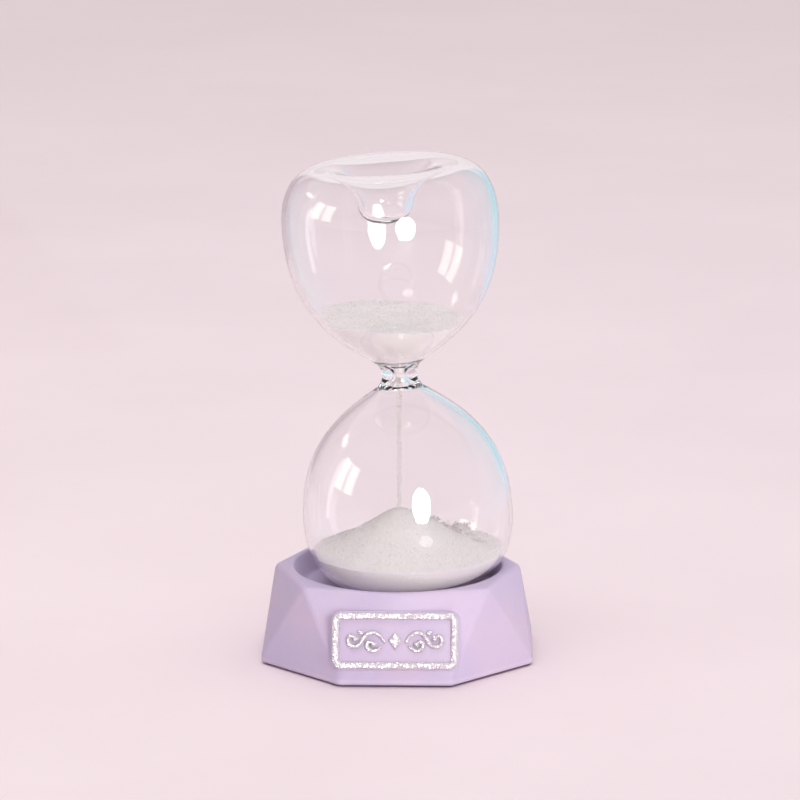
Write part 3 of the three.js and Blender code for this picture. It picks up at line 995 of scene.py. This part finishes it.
def grainPiece(name, spots, seed, sizes):
    chance = random.Random(seed)
    seedShape = bmesh.new()
    bmesh.ops.create_uvsphere(seedShape, u_segments=4, v_segments=2, radius=1)
    grain = bpy.data.meshes.new("grain")
    seedShape.to_mesh(grain)
    seedShape.free()
    bm = bmesh.new()
    for spot in spots:
        size = chance.uniform(*sizes)
        angle = chance.uniform(0, 6.28)
        axis = Vector((chance.random(), chance.random(), 0.2))
        turn = Matrix.Rotation(angle, 4, axis)
        wide = size * chance.uniform(0.7, 1.0)
        stretch = Matrix.Diagonal((size, wide, size * chance.uniform(0.6, 1.0), 1))
        place = Matrix.Translation(spot) @ turn @ stretch
        grain.transform(place)
        bm.from_mesh(grain)
        grain.transform(place.inverted())
    bpy.data.meshes.remove(grain)
    return newPiece(name, bm, 20)


def looseSpots(bulb, heightAt, count, reach, seed):  # on the sand's surface, inside the glass
    chance = random.Random(seed)
    back = glassPlace.inverted()
    spots = []
    while len(spots) < count:
        angle = chance.uniform(0, 2 * math.pi)
        radius = reach * math.sqrt(chance.random())
        x = neckPlace.x + radius * math.cos(angle)
        y = radius * math.sin(angle)
        spot = Vector((x, y, heightAt(x, y) + 0.02 * mm))
        local = back @ spot
        if math.hypot(local.x, local.y) < wallRadius(bulb, abs(local.z)) - 0.3 * mm:
            spots.append(spot)
    return spots


def streamSpots(count, seed):
    chance = random.Random(seed)
    low = neckPlace.z - lowerSand["peak"]
    high = neckPlace.z + grainShape["streamRise"]
    spots = []
    neckFoot = (high - low - glassShape["neckHalf"]) / (high - low)
    for i in range(count):
        inBore = i % 4 == 0
        share = chance.uniform(neckFoot, 1) if inBore else chance.uniform(0, neckFoot)
        taper = grainShape["streamTop"] - grainShape["streamFoot"]
        radius = grainShape["streamFoot"] + taper * share
        if inBore:
            radius += (grainShape["boreRadius"] - radius) * (share - neckFoot) / (1 - neckFoot)
        angle = chance.uniform(0, 2 * math.pi)
        out = radius * math.sqrt(chance.random())
        spots.append(Vector((
            neckPlace.x + out * math.cos(angle), out * math.sin(angle), low + (high - low) * share,
        )))
    return spots


def clumpSpots(middle, spread, count, seed):  # a crumb of grains that stuck together
    chance = random.Random(seed)
    spots = []
    for _ in range(count):
        across, away = chance.gauss(0, 1), chance.gauss(0, 0.6)
        spots.append(middle + spread * Vector((across, away, 0.75 * abs(chance.gauss(0, 1)))))
    return spots


def straySpots(count, seed):  # single grains that cling to the inside of the wall
    chance = random.Random(seed)
    spots = []
    for i in range(count):
        bulb, side = (upperBulb, 1) if i % 3 else (lowerBulb, -1)
        if side > 0:
            along = chance.triangular(19.5 * mm, 36 * mm, 20 * mm)
        else:
            along = chance.triangular(40 * mm, 56 * mm, 55 * mm)
        angle = chance.uniform(0, 2 * math.pi)
        radius = wallRadius(bulb, along) - 0.12 * mm
        local = Vector((radius * math.cos(angle), radius * math.sin(angle), side * along))
        spots.append(glassPlace @ local)
    return spots


def buildGrains(shape):
    upper = looseSpots(
        upperBulb, upperHeight, shape["upperCount"], upperSand["looseReach"], 31,
    )
    settle(grainPiece("upper_loose_grains", upper, 32, shape["size"]), "sand", "white_sand")
    lower = looseSpots(
        lowerBulb, lowerHeight, shape["lowerCount"], lowerSand["looseReach"], 33,
    )
    settle(grainPiece("lower_loose_grains", lower, 34, shape["size"]), "sand", "white_sand")
    fall = streamSpots(shape["streamCount"], 35)
    stream = grainPiece("falling_stream", fall, 36, shape["streamSize"])
    settle(stream, "sand", "white_sand", ["sand_stream"])
    crumbs = []
    for i, (x, y, spread, count) in enumerate(shape["crumbs"]):
        middle = Vector((x * mm, y * mm, lowerHeight(x * mm, y * mm) + 0.1 * mm))
        crumbs += clumpSpots(middle, spread * mm, count, 40 + i)
    settle(grainPiece("sand_crumbs", crumbs, 37, shape["crumbSize"]), "sand", "white_sand")
    clinging = straySpots(shape["strayCount"], 38)
    stray = grainPiece("stray_grains", clinging, 39, shape["straySize"])
    settle(stray, "glass", "white_sand")


buildHeaps()
print("stage: sand heaps")
buildGrains(grainShape)
print("stage: loose grains")


stageLook = {
    "roundPanes": ("frontPane", "lowPane"),
    "floorSize": 8.0, "floorDrop": 0.02 * mm,
    "worldShade": (0.95, 0.865, 0.89), "worldStrength": 0.40, "seenStrength": 0.97,
}
floorLook = {
    "shadeA": (0.80, 0.705, 0.725, 1), "shadeB": (0.83, 0.735, 0.755, 1), "drift": 6.0,
    "specks": 0.01,
}
lampLook = {
    # azimuth, elevation, distance, width, height, power, shade, use
    "key": (26, 13, 1.6, 0.9, 0.9, 14.5, (1.0, 0.985, 0.965), "object"),
    "overhead": (-20, 80, 1.5, 1.2, 1.2, 11.0, (1.0, 0.98, 1.0), "lighting"),
    "floorWash": (180, 75, 4.0, 6.0, 6.0, 100.0, (1.0, 0.97, 0.98), "floor"),
    "frontPane": (17, 7.5, 0.8, 0.29, 0.43, 5.0, (1.0, 1.0, 1.0), "reflection"),
    "lowPane": (20, -25, 0.163, 0.034, 0.024, 0.0045, (1.0, 1.0, 1.0), "reflection"),
    "sidePaneA": (-86.4, 19, 1.2, 0.24, 0.49, 1.4, (1.0, 1.0, 0.86), "reflection"),
    "sidePaneB": (-71.0, 19, 1.2, 0.24, 0.49, 1.4, (1.0, 1.0, 0.86), "reflection"),
    "smallPane": (-116, 30, 1.2, 0.22, 0.10, 0.22, (1.0, 1.0, 0.9), "reflection"),
    "tallSlit": (-92, 4, 0.26, 0.018, 0.19, 0.022, (1.0, 0.98, 0.95), "reflection"),
}
cardLook = {
    # first azimuth, last azimuth, inner radius, height, first glow shade, last glow shade, glow
    # strength
    "iceCard": (84, 165, 0.30, 0.9, (0.86, 0.76, 0.90, 1), (0.54, 0.77, 0.86, 1), 1.0),
    "roseCard": (-110, -165, 0.45, 0.7, (0.86, 0.72, 0.76, 1), (0.68, 0.56, 0.61, 1), 0.9),
}
middle = (Vector(cadBox[0]) + Vector(cadBox[1])) / 2


def aimAt(place, target):
    turn = (place - target).to_track_quat("Z", "Y")
    return Matrix.Translation(place) @ turn.to_matrix().to_4x4()


def around(azimuth, elevation, distance):  # azimuth from the front, to the right
    a, e = math.radians(azimuth), math.radians(elevation)
    return Vector((math.sin(a) * math.cos(e), -math.cos(a) * math.cos(e), math.sin(e))) * distance


def buildFloor():
    bm = bmesh.new()
    bmesh.ops.create_grid(bm, x_segments=1, y_segments=1, size=stageLook["floorSize"] / 2)
    bmesh.ops.translate(bm, vec=(0, 0, cadBox[0][2] - stageLook["floorDrop"]), verts=bm.verts)
    floor = newPiece("stage_floor", bm)
    material, tree, shader, place = newMaterial("matte_floor", {"Specular IOR Level": 0.25})
    mottle = mottled(tree, place, floorLook)
    tree.links.new(mottle.outputs["Color"], shader.inputs["Base Color"])
    tree.links.new(mapped(tree, mottle.outputs["Mask"], 0.62, 0.75), shader.inputs["Roughness"])
    floor.data.materials.append(material)
    return floor


def buildLamps(floor):
    receivers = {}
    for use, linkState in (("floor", "INCLUDE"), ("object", "EXCLUDE")):
        receivers[use] = bpy.data.collections.new(f"{use}_light")
        receivers[use].objects.link(floor)
        receivers[use].collection_objects[0].light_linking.link_state = linkState
    for name, (azimuth, elevation, distance, width, height, power, shade, use) in lampLook.items():
        lamp = bpy.data.lights.new(name, "AREA")
        lamp.shape = "ELLIPSE" if name in stageLook["roundPanes"] else "RECTANGLE"
        lamp.size = width
        lamp.size_y = height
        lamp.energy = power
        lamp.color = shade
        holder = bpy.data.objects.new(name, lamp)
        holder.matrix_world = aimAt(middle + around(azimuth, elevation, distance), middle)
        holder.visible_camera = False
        holder.visible_diffuse = use != "reflection"
        holder.visible_glossy = use == "reflection"
        holder.visible_transmission = use == "reflection"
        holder.light_linking.receiver_collection = receivers.get(use)
        bpy.context.scene.collection.objects.link(holder)


def buildCards():  # glowing tinted cards beside the set, which light nothing and are seen only in the glass
    for name, (first, last, inner, high, shadeA, shadeB, strength) in cardLook.items():
        bm = bmesh.new()
        outer = around(first, 0, 1.1)
        lift = Vector((0, 0, 4 * mm))
        route = [around(first, 0, inner) + lift, outer + lift, outer + Vector((0, 0, high))]
        verts = [bm.verts.new(place) for place in route]
        edges = [bm.edges.new(pair) for pair in zip(verts, verts[1:])]
        bmesh.ops.spin(
            bm, geom=verts + edges, cent=(0, 0, 0), axis=(0, 0, 1),
            angle=math.radians(last - first), steps=32,
        )
        card = newPiece(name, bm)
        material, tree, shader, place = newMaterial(name, {
            "Base Color": (0, 0, 0, 1), "Roughness": 1.0,
        })
        axes = addNode(tree, "ShaderNodeSeparateXYZ", {"Vector": place})
        depth = addNode(tree, "ShaderNodeMapRange", {
            "Value": axes.outputs["Y"], "From Min": -0.2, "From Max": 0.95,
        }, interpolation_type="SMOOTHSTEP")
        tree.links.new(
            mixColor(tree, depth.outputs["Result"], shadeA, shadeB), shader.inputs["Emission Color"],
        )
        # the cards glow by emission although they are no lamps, giving painted reflections in the
        # glass
        shader.inputs["Emission Strength"].default_value = strength
        card.data.materials.append(material)
        card.visible_camera = False
        card.visible_diffuse = False
        card.visible_shadow = False


def buildWorld():
    world = bpy.data.worlds.new("soft_room")
    world.use_nodes = True
    backdrop = world.node_tree.nodes["Background"]
    backdrop.inputs["Color"].default_value = (*stageLook["worldShade"], 1)
    path = addNode(world.node_tree, "ShaderNodeLightPath")
    seen = path.outputs["Is Camera Ray"]
    for kind in ("Is Glossy Ray", "Is Transmission Ray"):
        both = addNode(world.node_tree, "ShaderNodeMath", {
            0: seen, 1: path.outputs[kind],
        }, operation="MAXIMUM")
        seen = both.outputs[0]
    strength = mapped(world.node_tree, seen, stageLook["worldStrength"], stageLook["seenStrength"])
    world.node_tree.links.new(strength, backdrop.inputs["Strength"])
    bpy.context.scene.world = world


cameraLook = {
    "place": (29.5 * mm, -1500 * mm, 441.6 * mm), "aim": (0.7 * mm, 0, 82.9 * mm), "lens": 216.8,
}


def buildCamera(look):
    lens = bpy.data.cameras.new("front_camera")
    lens.lens = look["lens"]
    lens.sensor_width = 36
    lens.clip_start = 0.01
    camera = bpy.data.objects.new("front_camera", lens)
    camera.matrix_world = aimAt(Vector(look["place"]), Vector(look["aim"]))
    bpy.context.scene.collection.objects.link(camera)
    bpy.context.scene.camera = camera


buildLamps(buildFloor())
buildCards()
buildWorld()
buildCamera(cameraLook)
scene = bpy.context.scene
scene.view_settings.view_transform = "Standard"
scene.cycles.caustics_reflective = False
scene.cycles.caustics_refractive = False
scene.cycles.max_bounces = 28
scene.cycles.transmission_bounces = 28
scene.cycles.transparent_max_bounces = 24
print("stage: stage, lamps and camera")
